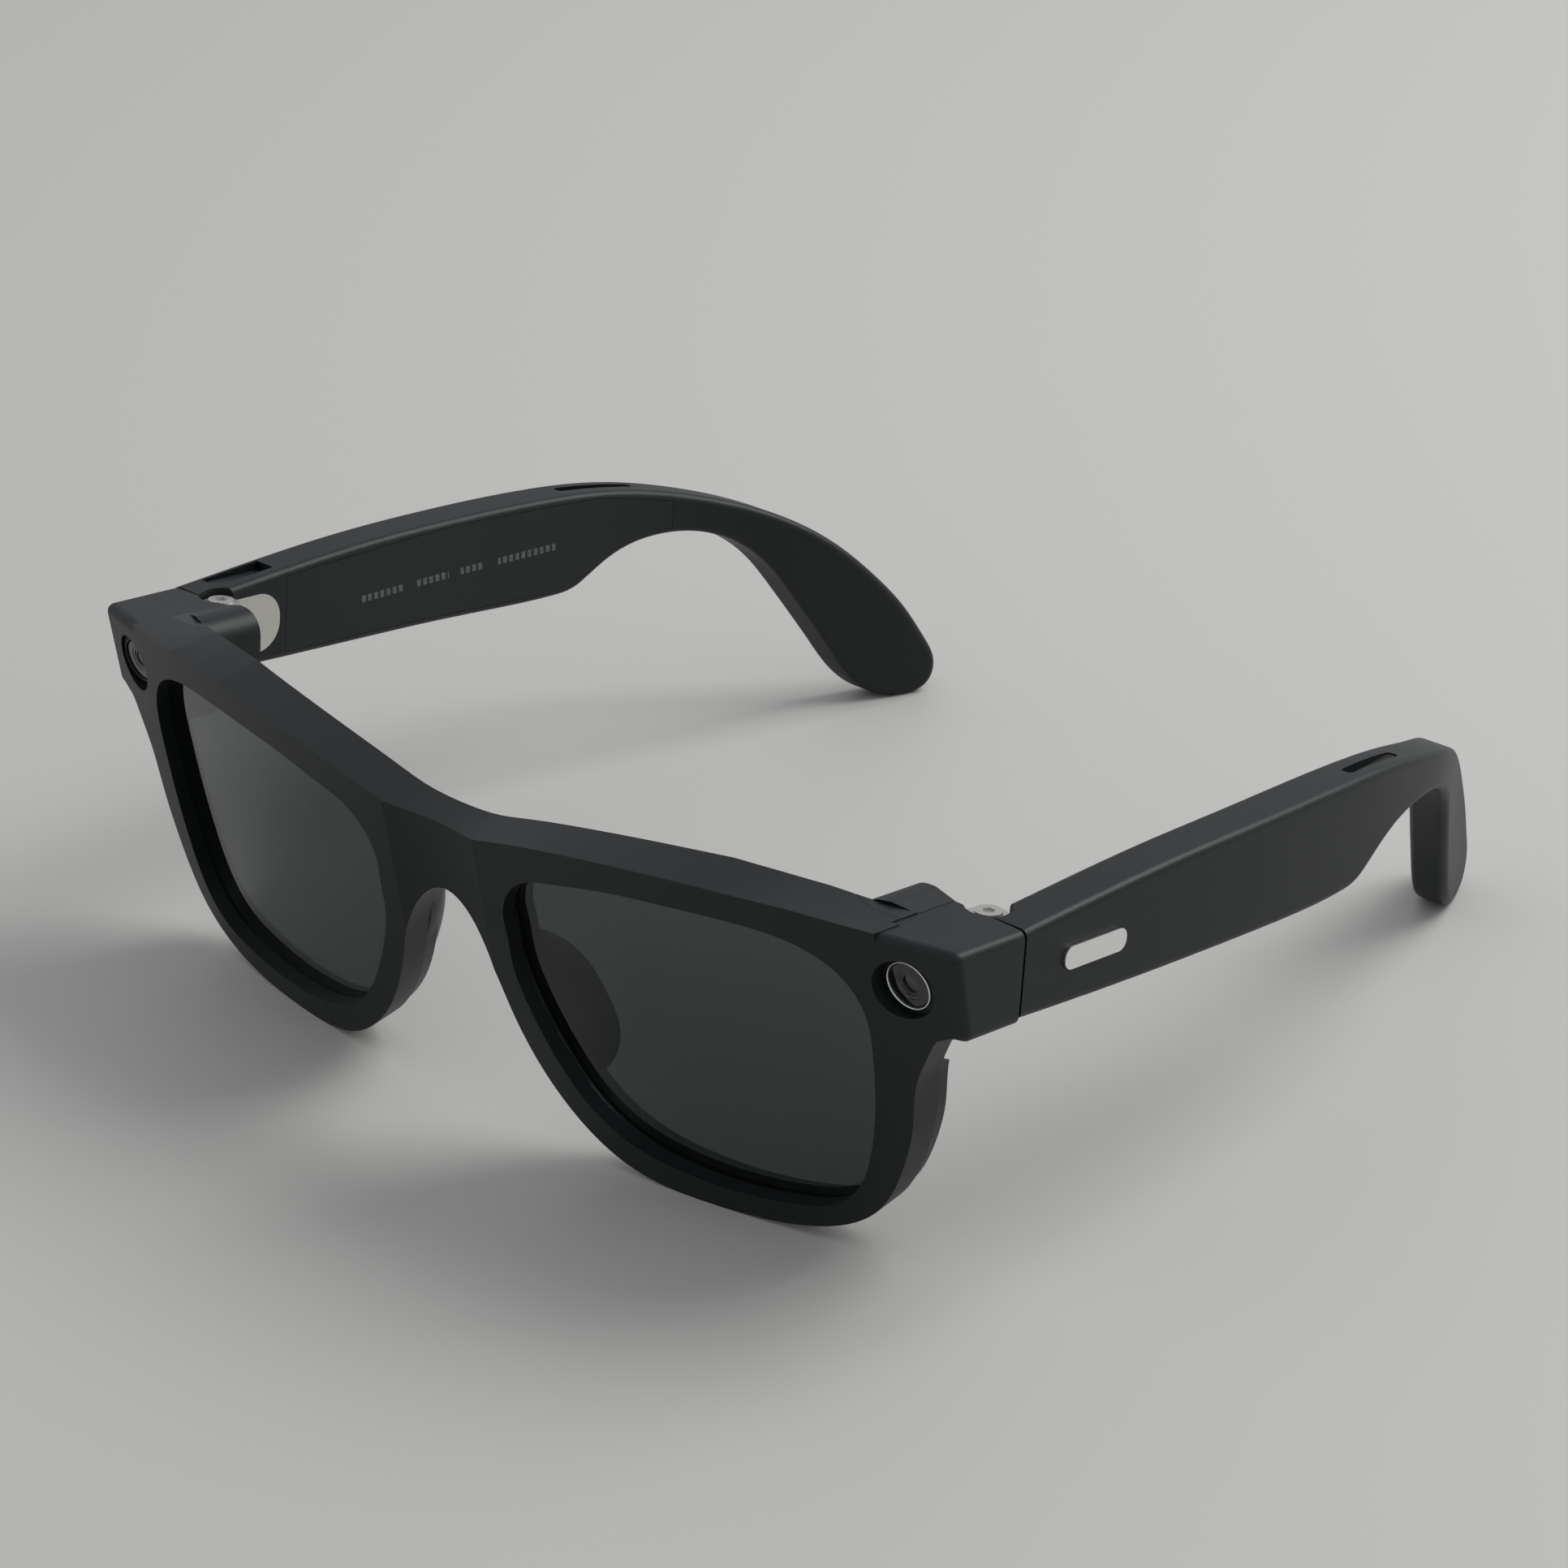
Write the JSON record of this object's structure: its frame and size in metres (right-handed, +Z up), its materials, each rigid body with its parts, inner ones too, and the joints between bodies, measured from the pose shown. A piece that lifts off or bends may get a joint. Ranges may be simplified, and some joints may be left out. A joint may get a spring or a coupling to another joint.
{
  "type": "smart glasses",
  "caption": "Thick-rimmed dark sunglasses with a camera and a status light in the end pieces, open-ear speakers, folding temples and touch, capture and power controls.",
  "frame": {"origin": "centre of the footprint on the table, at the rim bottoms and the temple tips", "axes": "+Z up, +X to the wearer's left, +Y from the lenses towards the ears; the front leans with its top forward as it rests on a table"},
  "size_m": [0.1508, 0.1422, 0.0473],
  "materials": {
    "badge_silver": "satin",
    "bright_ring": "satin",
    "cell_foil": "satin",
    "circuit_board": "satin",
    "contact_gold": "satin",
    "dark_ring": "gloss",
    "eye_glass": "gloss",
    "frame_black": "matte",
    "hinge_steel": "satin",
    "light_guide": "frosted",
    "mesh_black": "matte",
    "module_black": "satin",
    "pad_black": "satin",
    "rear_shell_black": "matte",
    "ribbon": "satin",
    "speaker_black": "matte",
    "sun_lens": "tinted"
  },
  "bodies": {
    "front": {"front_frame": "frame_black", "rear_frame": "rear_shell_black", "lens_left": "sun_lens", "lens_right": "sun_lens", "nose_pad_left": "pad_black", "nose_pad_right": "pad_black", "camera_ring": "bright_ring", "camera_window": "eye_glass", "camera_barrel": "module_black", "camera_module": "module_black", "light_ring": "dark_ring", "light_window": "eye_glass", "light_guide": "light_guide", "light_board": "circuit_board", "front_flex": "ribbon", "charge_contacts": "contact_gold", "bridge_mic": "mesh_black", "hinge_block_left": "frame_black", "hinge_block_right": "frame_black", "front_leaf_left": "hinge_steel", "front_leaf_right": "hinge_steel", "hinge_screw_left": "hinge_steel", "hinge_screw_right": "hinge_steel"},
    "temple_left": {"temple_shell_left": "frame_black", "temple_cover_left": "rear_shell_black", "temple_leaf_left": "hinge_steel", "battery": "cell_foil", "speaker_left": "speaker_black", "speaker_mesh_left": "mesh_black", "switch_board": "circuit_board", "temple_flex_left": "ribbon", "badge_left": "badge_silver", "temple_mic_left": "mesh_black"},
    "temple_right": {"temple_shell_right": "frame_black", "temple_cover_right": "rear_shell_black", "temple_leaf_right": "hinge_steel", "main_board": "circuit_board", "shield_can": "hinge_steel", "touch_sensor": "ribbon", "speaker_right": "speaker_black", "speaker_mesh_right": "mesh_black", "temple_flex_right": "ribbon", "badge_right": "badge_silver", "temple_mic_right": "mesh_black", "button_dome": "hinge_steel"},
    "switch": {"power_switch": "frame_black"},
    "button": {"capture_button": "frame_black"}
  },
  "joints": [
    {"name": "fold_left", "type": "hinge", "parent": "front", "child": "temple_left", "pos_m": [0.0676, -0.04658, 0.039], "axis": [0, 0.0958, 0.9954], "range_deg": [0, 83]},
    {"name": "fold_right", "type": "hinge", "parent": "front", "child": "temple_right", "pos_m": [-0.0676, -0.04658, 0.039], "axis": [0, -0.0958, -0.9954], "range_deg": [0, 75]},
    {"name": "power_slide", "type": "slide", "parent": "temple_left", "child": "switch", "axis": [0, 0.9954, -0.0958], "range_m": [0, 0.002]},
    {"name": "capture_press", "type": "slide", "parent": "temple_right", "child": "button", "axis": [0, -0.0958, -0.9954], "range_m": [0, 0.0004], "stiffness_N_per_m": 2500}
  ]
}
